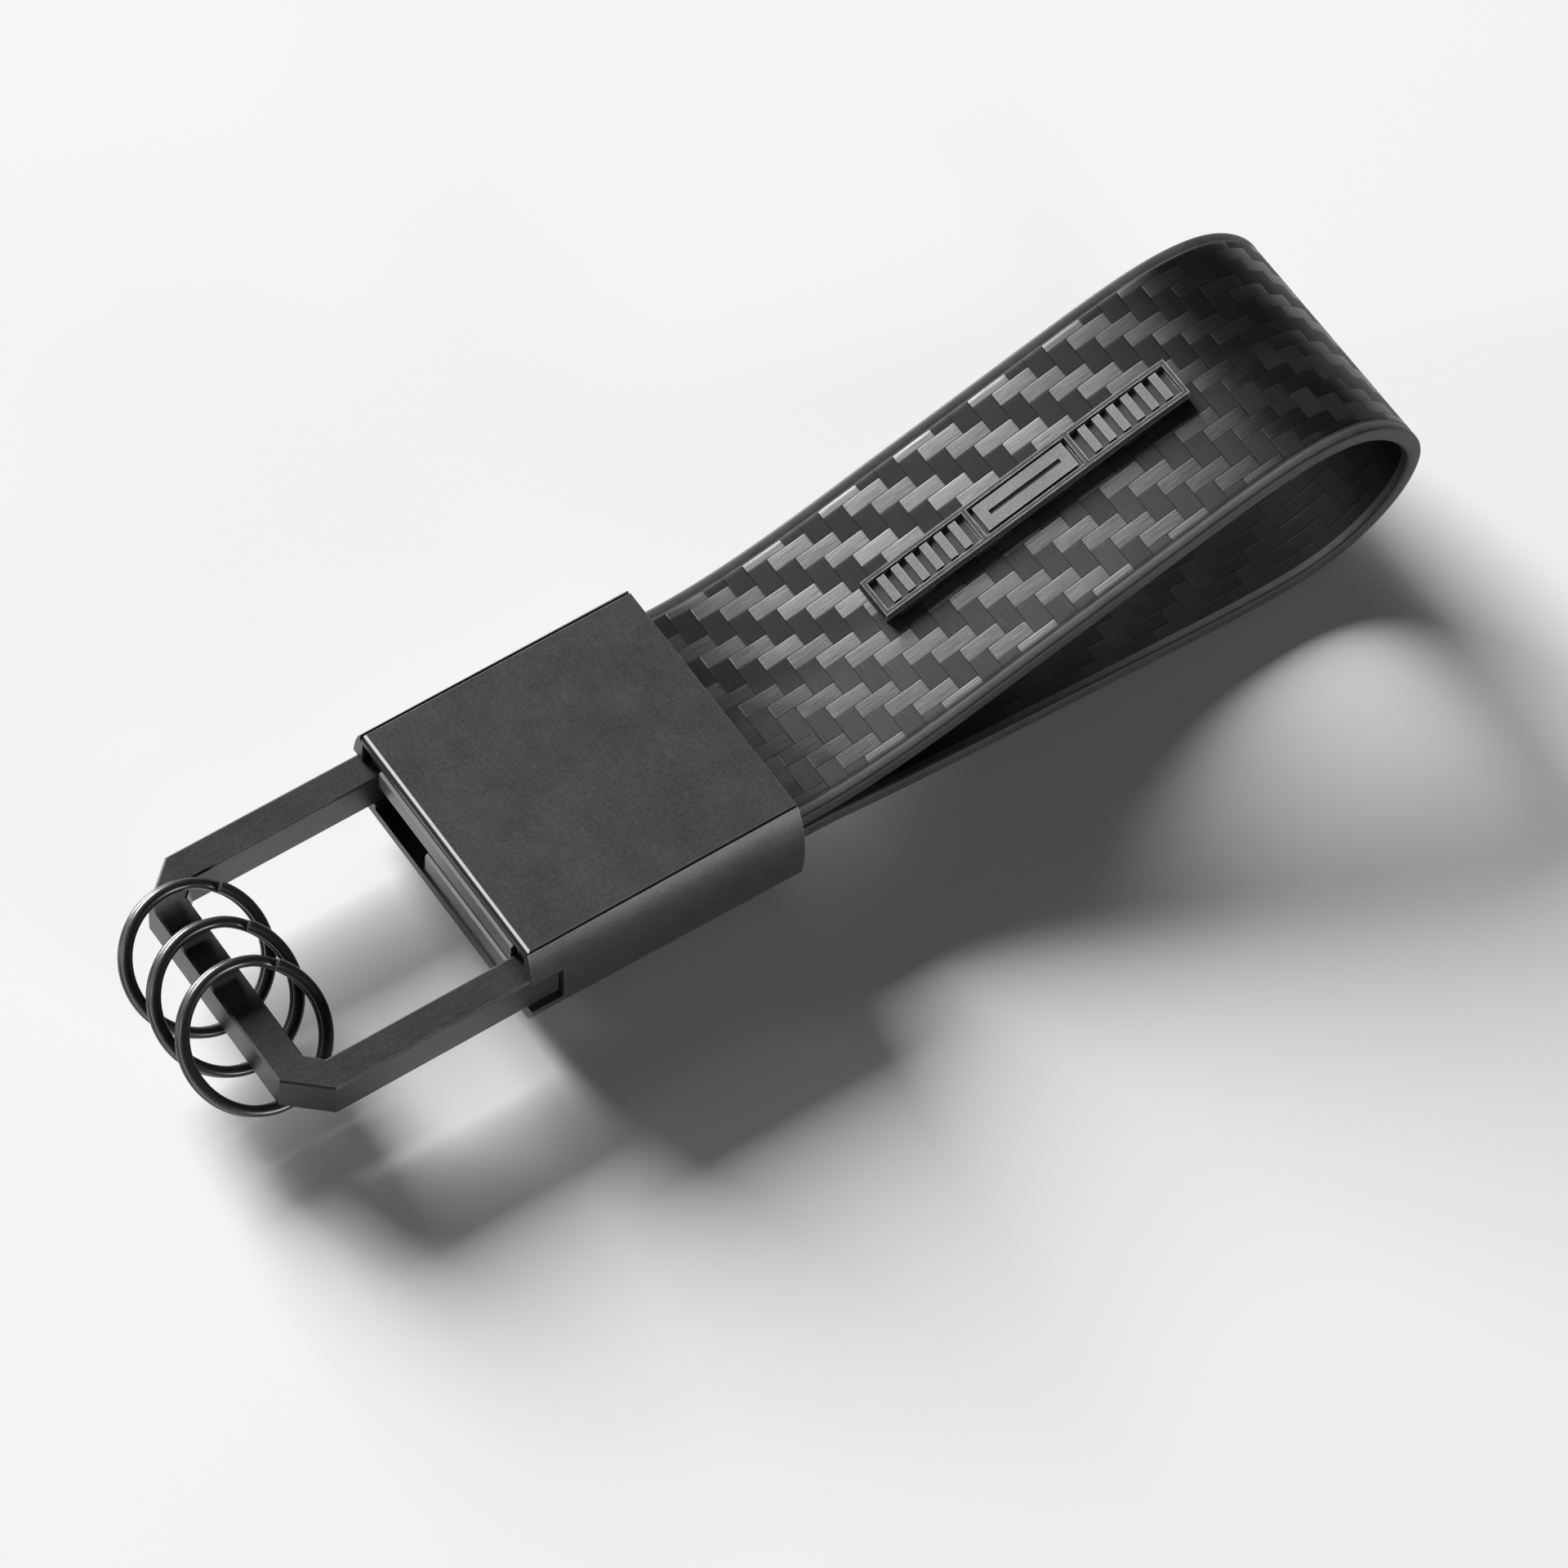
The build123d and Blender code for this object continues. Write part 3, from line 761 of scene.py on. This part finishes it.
@dataclass(frozen=True)
class PaintedEdgeFinish:
    """Smooth painted edge and plain margins of the strap."""

    CLOUD, CLOUD_SHARE = Pattern(260.0, 5.0, 0.6), 0.6
    STREAKS, STREAK_SHARE = Pattern(2600.0, 3.0, 0.6), 0.4
    STREAK_STRETCH = (0.12, 1.0, 1.0)
    TONE_ENDS = (0.35, 0.65)
    ROUGHNESS_SPREAD = 0.3
    DUST, DUST_COLOUR = 0.3, (0.3, 0.3, 0.29)
    GRAIN_RELIEF = (0.35, 0.00002)

    name: str
    colour: Colour
    light: Colour
    roughness: float = 0.55
    specular: float = 0.3

    def material(self, effects: Effects) -> bpy.types.Material:
        """Build the finish.

        Args:
            effects: Shared shader groups.

        Returns:
            The material.
        """
        material, graph, shader = start_material(self.name)
        place = graph.node("ShaderNodeTexCoord").outputs["Object"]
        grain = add_group(graph, effects.grain, Place=place)
        cloud = graph.noise(place, self.CLOUD)
        streak = graph.noise(graph.stretched(place, self.STREAK_STRETCH), self.STREAKS)
        tone = graph.weighted((cloud, self.CLOUD_SHARE), (streak, self.STREAK_SHARE))
        colour = graph.mix(graph.scale_range(tone, self.TONE_ENDS), self.colour, self.light)
        specks = add_group(graph, effects.dust, Place=place, Amount=self.DUST)
        rough = graph.math("MULTIPLY_ADD", tone, self.ROUGHNESS_SPREAD,
                           self.roughness - self.ROUGHNESS_SPREAD / 2)
        graph.plug(shader.inputs["Base Color"],
                   graph.mix(specks["Mask"], colour, self.DUST_COLOUR))
        graph.plug(shader.inputs["Roughness"], rough)
        shader.inputs["Specular IOR Level"].default_value = self.specular
        graph.plug(shader.inputs["Normal"], graph.bump(grain["Height"], self.GRAIN_RELIEF))
        return material


@dataclass
class Finishes:
    """Every material of the object, by the name of its slot in the record."""

    effects: Effects
    made: dict[str, bpy.types.Material] = field(default_factory=dict)

    def __post_init__(self) -> None:
        """Build all finishes."""
        for finish in self.metals() + self.leathers():
            self.made[finish.name] = finish.material(self.effects)
            log.info("finish %s", finish.name)

    @staticmethod
    def metals() -> list[MetalFinish]:
        """Finishes of the clasp, key frame, rings, badge and fixings."""
        return [
            # The clasp's front bevel gets painted shade and a painted highlight line above 11.8
            # mm.
            MetalFinish("clasp_satin", (0.056, 0.056, 0.057), (0.108, 0.108, 0.110),
                        (0.34, 0.34, 0.34), brush=Brush.ALONG_Y, edge_amount=0.35,
                        highlight_line=0.0118),
            MetalFinish("jaw_satin", (0.14, 0.14, 0.141), (0.20, 0.20, 0.202),
                        (0.3, 0.3, 0.3), roughness=0.36),
            MetalFinish("frame_satin", (0.052, 0.052, 0.053), (0.096, 0.096, 0.098),
                        (0.28, 0.28, 0.28), roughness=0.38, edge_amount=0.4),
            MetalFinish("ring_black", (0.060, 0.060, 0.061), (0.090, 0.090, 0.092),
                        (0.2, 0.2, 0.2), roughness=0.30, spread=0.12, edge_amount=0.1,
                        brush=Brush.NONE),
            MetalFinish("screw_black", (0.03, 0.031, 0.033), (0.05, 0.051, 0.054),
                        (0.3, 0.3, 0.3), roughness=0.3),
            MetalFinish("pin_steel", (0.42, 0.43, 0.44), (0.55, 0.56, 0.57),
                        (0.7, 0.7, 0.7), metallic=1.0, roughness=0.28, edge_amount=0.2),
            MetalFinish("bushing_brass", (0.62, 0.46, 0.22), (0.74, 0.56, 0.30),
                        (0.85, 0.7, 0.45), metallic=1.0, roughness=0.3, edge_amount=0.2),
            MetalFinish("badge_black", (0.075, 0.075, 0.077), (0.110, 0.110, 0.113),
                        (0.62, 0.62, 0.63), roughness=0.40, edge_radius=0.00022,
                        edge_amount=0.95),
            MetalFinish("badge_bright", (0.22, 0.22, 0.222), (0.32, 0.32, 0.323),
                        (0.7, 0.7, 0.7), edge_radius=0.00012, edge_amount=0.7),
        ]

    @staticmethod
    def leathers() -> list[WeaveFinish | PaintedEdgeFinish]:
        """Finishes of the strap's two woven faces and its painted edge."""
        return [
            WeaveFinish("strap_carbon", (0.122, 0.122, 0.123), (0.021, 0.021, 0.022),
                        (0.007, 0.007, 0.007)),
            WeaveFinish("strap_lining", (0.010, 0.010, 0.010), (0.004, 0.004, 0.004),
                        (0.002, 0.002, 0.002), roughness=0.6, metallic=0.0, anisotropy=0.0,
                        specular=0.12),
            PaintedEdgeFinish("strap_core", (0.040, 0.040, 0.041), (0.056, 0.056, 0.057)),
        ]

    def dress(self, node: str, slot: str) -> None:
        """Give a CAD node's object one finish.

        Args:
            node: CAD node's name.
            slot: Name of the finish.
        """
        piece = frame["nodes"][node]
        if not piece.material_slots:
            piece.data.materials.append(None)
        for place in piece.material_slots:
            place.material = self.made[slot]


@dataclass
class LoopPath:
    """Line that the outer face of the strap follows round its loop.

    It lies in the XZ plane, in millimetres from the clasp's front rim. Each end runs on straight
    into the clasp, as far as `buried_end`.
    """

    knots: tuple[Pair, ...] = (
        (29.8, 8.0), (33.5, 8.05), (37.8, 8.45), (42.5, 9.35), (47.0, 10.5), (55.0, 13.05),
        (64.0, 15.95), (74.0, 19.2), (82.0, 21.6), (88.5, 22.7), (94.5, 21.8), (99.3, 18.2),
        (102.0, 12.6), (101.2, 8.2), (97.6, 3.6), (92.0, 0.75), (85.0, 0.0), (75.0, 0.45),
        (62.0, 1.4), (50.0, 2.35), (40.0, 3.3), (33.5, 4.0), (29.8, 4.2),
    )
    first_direction: Pair = (1.0, 0.02)
    last_direction: Pair = (-1.0, 0.1)
    buried_end: float = 13.0
    points_per_span: int = 60

    def slopes(self, times: np.ndarray, points: np.ndarray) -> np.ndarray:
        """Slopes of the smooth curve at its knots.

        Args:
            times: Parameter of each knot.
            points: The knots.

        Returns:
            One slope for each knot.
        """
        count = len(times)
        steps = np.diff(times)
        system, known = np.zeros((count, count)), np.zeros((count, 2))
        system[0, 0] = system[-1, -1] = 1.0
        known[0] = np.array(self.first_direction) / np.linalg.norm(self.first_direction)
        known[-1] = np.array(self.last_direction) / np.linalg.norm(self.last_direction)
        rises = np.diff(points, axis=0) / steps[:, None]
        for i in range(1, count - 1):
            system[i, i - 1], system[i, i + 1] = steps[i], steps[i - 1]
            system[i, i] = 2.0 * (steps[i - 1] + steps[i])
            known[i] = 3.0 * (steps[i] * rises[i - 1] + steps[i - 1] * rises[i])
        return np.linalg.solve(system, known)

    def line(self) -> np.ndarray:
        """Closely spaced points along the whole outer line, with its straight ends.

        Returns:
            Points in millimetres from the clasp's front rim.
        """
        points = np.array(self.knots)
        times = arc_lengths(points)
        slopes = self.slopes(times, points)
        s = np.linspace(0.0, 1.0, self.points_per_span, endpoint=False)[:, None]
        parts = [np.array([[self.buried_end, self.knots[0][1]]])]
        for i in range(len(times) - 1):
            span = times[i + 1] - times[i]
            parts.append(
                (2 * s**3 - 3 * s**2 + 1) * points[i]
                + (s**3 - 2 * s**2 + s) * span * slopes[i]
                + (3 * s**2 - 2 * s**3) * points[i + 1]
                + (s**3 - s**2) * span * slopes[i + 1])
        parts += [points[-1:], np.array([[self.buried_end, self.knots[-1][1]]])]
        return np.vstack(parts)

    def stations(self, count: int) -> tuple[np.ndarray, np.ndarray, float]:
        """Evenly spaced places along the line.

        Args:
            count: Number of places.

        Returns:
            The places, the outward unit normals there, and the whole length.
        """
        line = self.line()
        lengths = arc_lengths(line)
        at = np.linspace(0.0, lengths[-1], count)
        places = np.stack([np.interp(at, lengths, line[:, k]) for k in (0, 1)], axis=1)
        ahead = np.gradient(places, axis=0)
        ahead /= np.linalg.norm(ahead, axis=1)[:, None]
        return places, np.stack([-ahead[:, 1], ahead[:, 0]], axis=1), float(lengths[-1])


def arc_lengths(points: np.ndarray) -> np.ndarray:
    """Length from the first point to each point of a line, run by run."""
    return np.concatenate(([0.0], np.cumsum(np.linalg.norm(np.diff(points, axis=0), axis=1))))


@dataclass
class StrapLoop:
    """Leather loop with a woven look: one closed band with relief, creases and painted edges.

    Sizes are in millimetres, apart from `weld` and `front_rim`, the X of the clasp's front rim,
    which are in metres.
    """

    WEAVE_MAP = "weave"
    SLOTS = {Zone.FACE: "strap_carbon", Zone.EDGE: "strap_core", Zone.BACK: "strap_lining"}
    REPEAT, OVER = 4, 2  # yarns in the twill's repeat, and in each float

    front_rim: float
    half_width: float = 13.5
    thickness: float = 1.7
    yarn: Pair = (2.2, 1.61)
    row_offset: float = 20.0
    crease: float = 12.3
    crease_gap: float = 0.14
    crease_steps: tuple[Pair, ...] = ((0.0, 0.06), (0.17, 0.02), (0.5, 0.0))
    rim: float = 0.42
    rim_roundness: Pair = (0.7, 0.45)
    back_margin: float = 1.0
    relief: float = 0.02
    yarn_roundness: tuple[int, int] = (3, 6)
    smooth_end: float = 16.0
    fade: float = 1.5
    stations: int = 430
    face_rows: int = 62
    rim_rows: int = 11
    back_rows: int = 44
    weld: float = 0.00001
    path: LoopPath = field(default_factory=LoopPath)

    def weave_place(self, along: float, y: float) -> Pair:
        """Place in the weave in yarn widths, from millimetres along and across the strap."""
        return along / self.yarn[0], y / self.yarn[1] + self.row_offset

    def weave_height(self, x: float, y: float) -> float:
        """Height of the raised yarn, laid out as in the shader but more softly rounded.

        Args:
            x: Place along the strap in yarn widths.
            y: Place across it in yarn widths.

        Returns:
            Height, 0 to 1.
        """
        column, row = math.floor(x), math.floor(y)
        if (column + row) % self.REPEAT < self.OVER:
            over_width, over_length = y - row, (x + row) % self.REPEAT
        else:
            over_width, over_length = x - column, (y + column) % self.REPEAT - self.OVER
        side, end = self.yarn_roundness
        return (1 - abs(2 * over_width - 1) ** side) * (1 - abs(over_length - 1) ** end)

    def profile(self) -> list[tuple[float, float, Zone]]:
        """Places round the strap's section, from one side of its face.

        Returns:
            Across and depth in millimetres, and the zone, in order round the section.
        """
        reach = self.crease - self.crease_gap
        face = [(y, 0.0, Zone.FACE) for y in np.linspace(-reach, reach, self.face_rows)]
        side = [(self.crease + out, depth, Zone.EDGE) for out, depth in self.crease_steps]
        for angle in np.linspace(0, math.pi, self.rim_rows):
            out, down = math.sin(angle), math.cos(angle)
            wide, deep = self.rim_roundness
            y = self.half_width - self.rim + self.rim * abs(out) ** wide
            fall = math.copysign(abs(down) ** deep, down)
            depth = self.thickness / 2 - fall * self.thickness / 2
            side.append((y, depth, Zone.EDGE))
        reach = self.half_width - self.back_margin
        back = [(y, self.thickness, Zone.BACK) for y in np.linspace(reach, -reach, self.back_rows)]
        mirrored = [(-y, depth, zone) for y, depth, zone in reversed(side)]
        return face + side + back + mirrored

    def build(self, finishes: Finishes) -> bpy.types.Object:
        """Make the strap and dress it.

        Args:
            finishes: Materials of the object.

        Returns:
            The strap's object.
        """
        rows = self.profile()
        shell = bmesh.new()
        bmesh.ops.create_grid(
            shell, x_segments=self.stations - 1, y_segments=len(rows), size=0.5)
        places, normals, length = self.path.stations(self.stations)
        self.mark(shell, rows, length)
        self.wrap(shell, rows, places, normals, length)
        bmesh.ops.remove_doubles(shell, verts=shell.verts[:], dist=self.weld)
        ends = [edge for edge in shell.edges if edge.is_boundary]
        bmesh.ops.holes_fill(shell, edges=ends, sides=0)
        bmesh.ops.recalc_face_normals(shell, faces=shell.faces[:])
        mesh = bpy.data.meshes.new("strap_loop")
        shell.to_mesh(mesh)
        shell.free()
        for zone in Zone:
            mesh.materials.append(finishes.made[self.SLOTS[zone]])
        strap = bpy.data.objects.new("strap_loop", mesh)
        bpy.context.scene.collection.objects.link(strap)
        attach(strap, "clasp")
        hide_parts("strap_outer", "strap_core", "strap_lining")
        log.info("strap loop: %d faces, %.1f mm long", len(mesh.polygons), length)
        return strap

    def mark(self, shell: bmesh.types.BMesh, rows: list[tuple[float, float, Zone]],
             length: float) -> None:
        """Give the flat grid its weave coordinates and its zones' materials.

        Args:
            shell: Flat grid, one metre square, with stations along X and rows along Y.
            rows: Section's places.
            length: Length of the strap in millimetres.
        """
        count = len(rows)
        weave = shell.loops.layers.uv.new(self.WEAVE_MAP)
        for face in shell.faces:
            middle = sum(vertex.co.y for vertex in face.verts) / len(face.verts) + 0.5
            before = rows[int(middle * count) % count][2]
            after = rows[(int(middle * count) + 1) % count][2]
            face.material_index = before.value if before == after else Zone.EDGE.value
            face.smooth = True
            for loop in face.loops:
                index = round((loop.vert.co.y + 0.5) * count) % count
                along = (loop.vert.co.x + 0.5) * length
                loop[weave].uv = self.weave_place(along, rows[index][0])

    def wrap(self, shell: bmesh.types.BMesh, rows: list[tuple[float, float, Zone]],
             places: np.ndarray, normals: np.ndarray, length: float) -> None:
        """Bend the flat grid round the section and along the loop's line.

        Args:
            shell: Flat grid, one metre square, with stations along X and rows along Y.
            rows: Section's places.
            places: Outer line's stations.
            normals: Outward unit normals at the stations.
            length: Length of the strap in millimetres.
        """
        for vertex in shell.verts:
            station = round((vertex.co.x + 0.5) * (self.stations - 1))
            y, depth, zone = rows[round((vertex.co.y + 0.5) * len(rows)) % len(rows)]
            along = station / (self.stations - 1) * length
            depth += self.sunk(along, length, y, zone)
            x, z = places[station] - normals[station] * depth
            vertex.co = Vector((self.front_rim + x * MM, y * MM, z * MM))

    def sunk(self, along: float, length: float, y: float, zone: Zone) -> float:
        """How much deeper the surface lies than the section says, between the raised yarns.

        Args:
            along: Place along the strap in millimetres.
            length: The strap's whole length.
            y: Place across it.
            zone: Part of the section.

        Returns:
            Depth in millimetres, positive inwards from the face and negative from the back.
        """
        if zone == Zone.EDGE:
            return 0.0
        height = self.weave_height(*self.weave_place(along, y))
        from_end = min(along, length - along)
        faded = min(1.0, max(0.0, (from_end - self.smooth_end) / self.fade))
        depth = self.relief * (1.0 - height) * faded
        return depth if zone == Zone.FACE else -depth


@dataclass
class Hardware:
    """The clasp, key frame, rings and badge, which keep their CAD shapes."""

    slots: dict[str, str] = field(default_factory=dict)

    def dress(self, finishes: Finishes) -> None:
        """Give each CAD node the finish that the record names for it.

        Args:
            finishes: Materials of the object.
        """
        for part in frame["record"]["subparts"]:
            self.slots[part["node"]] = part["material_slot"]
        for node, slot in self.slots.items():
            if not slot.startswith("strap_"):
                finishes.dress(node, slot)
                log.info("dressed %s in %s", node, slot)

    def free_spring(self) -> None:
        """Give the catch's spring, which the record names as a deforming part, a mesh of its own.
        """
        joints = frame["record"]["behaviour"]["joints"]
        slide = next(j for j in joints if j.get("deforming_nodes"))
        rule = slide["deforming_nodes"][0]
        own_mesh(frame["nodes"][rule["node"]])


@dataclass(frozen=True)
class Softbox:
    """Square area light that faces the object, in metres and watts."""

    name: str
    direction: Triple
    distance: float
    size: float
    power: float

    def hang(self) -> None:
        """Add the light to the scene."""
        light = bpy.data.lights.new(self.name, "AREA")
        light.size = self.size
        light.energy = self.power
        lamp = bpy.data.objects.new(self.name, light)
        bpy.context.scene.collection.objects.link(lamp)
        toward = Vector(self.direction).normalized()
        lamp.location = toward * self.distance
        lamp.rotation_mode = "QUATERNION"
        lamp.rotation_quaternion = (-toward).to_track_quat("-Z", "Y")
        lamp.visible_camera = False


@dataclass
class Studio:
    """Pale floor, soft lights and the camera. Distances are in metres."""

    floor_height: float = -0.0015
    floor_reach: float = 3.0
    floor_colour: Colour = (0.86, 0.86, 0.86)
    floor_roughness: float = 0.9
    floor_specular: float = 0.1
    camera_place: Triple = (-0.25665, -0.32503, 0.64881)
    camera_right: Triple = (0.826, -0.562, 0.049)
    camera_up: Triple = (0.4545, 0.7148, 0.5313)
    camera_sees: Pair = (0.01, 20.0)
    lens_mm: float = 187.5
    sensor_mm: float = 36.0
    softboxes: tuple[Softbox, ...] = (
        Softbox("key", (-0.07, 0.93, 0.357), 6.0, 2.6, 985.0),
        Softbox("front", (0.1, -1.0, 0.09), 2.0, 0.6, 23.0),
        Softbox("rim_left", (-0.83, 0.42, 0.32), 0.7, 0.14, 0.5),
    )
    sky_seen: float = 0.9
    sky_cast: float = 0.02

    def floor(self) -> None:
        """Lay the plain floor below the object, clear when it is looked at from below."""
        shape = bmesh.new()
        bmesh.ops.create_grid(shape, x_segments=1, y_segments=1, size=self.floor_reach)
        bmesh.ops.translate(shape, verts=shape.verts[:], vec=(0, 0, self.floor_height))
        mesh = bpy.data.meshes.new("floor")
        shape.to_mesh(mesh)
        shape.free()
        material, graph, shader = start_material("pale_floor")
        behind = graph.node("ShaderNodeNewGeometry").outputs["Backfacing"]
        graph.plug(shader.inputs["Alpha"], graph.math("SUBTRACT", 1.0, behind))
        shader.inputs["Base Color"].default_value = rgba(self.floor_colour)
        shader.inputs["Roughness"].default_value = self.floor_roughness
        shader.inputs["Specular IOR Level"].default_value = self.floor_specular
        mesh.materials.append(material)
        floor = bpy.data.objects.new("floor", mesh)
        bpy.context.scene.collection.objects.link(floor)

    def sky(self) -> None:
        """Surround the scene with a white that the camera sees brighter than it lights."""
        world = bpy.data.worlds.new("studio")
        bpy.context.scene.world = world
        world.use_nodes = True
        graph = Graph(world.node_tree)
        sky = next(n for n in world.node_tree.nodes if n.type == "BACKGROUND")
        sky.inputs["Color"].default_value = (1.0, 1.0, 1.0, 1.0)
        seen = graph.node("ShaderNodeLightPath").outputs["Is Camera Ray"]
        strength = graph.math("MULTIPLY_ADD", seen, self.sky_seen - self.sky_cast, self.sky_cast)
        graph.plug(sky.inputs["Strength"], strength)

    def camera(self) -> None:
        """Place the camera."""
        lens = bpy.data.cameras.new("camera")
        lens.lens = self.lens_mm
        lens.sensor_width = self.sensor_mm
        lens.clip_start, lens.clip_end = self.camera_sees
        camera = bpy.data.objects.new("camera", lens)
        bpy.context.scene.collection.objects.link(camera)
        right, up = Vector(self.camera_right).normalized(), Vector(self.camera_up)
        back = right.cross(up).normalized()
        up = back.cross(right)
        turned = Matrix((right, up, back)).transposed().to_4x4()
        camera.matrix_world = Matrix.Translation(self.camera_place) @ turned
        bpy.context.scene.camera = camera

    def build(self) -> None:
        """Set up the whole studio."""
        self.camera()
        self.floor()
        for softbox in self.softboxes:
            softbox.hang()
        self.sky()
        bpy.context.scene.view_settings.view_transform = "Standard"
        log.info("studio ready")


def main() -> None:
    """Build and dress the key organiser."""
    logging.basicConfig(level=logging.INFO, format="%(message)s")
    finishes = Finishes(Effects())
    hardware = Hardware()
    hardware.dress(finishes)
    hardware.free_spring()
    StrapLoop(front_rim=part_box("clasp_cover")[0].x).build(finishes)
    Studio().build()


if __name__ == "__main__":
    main()
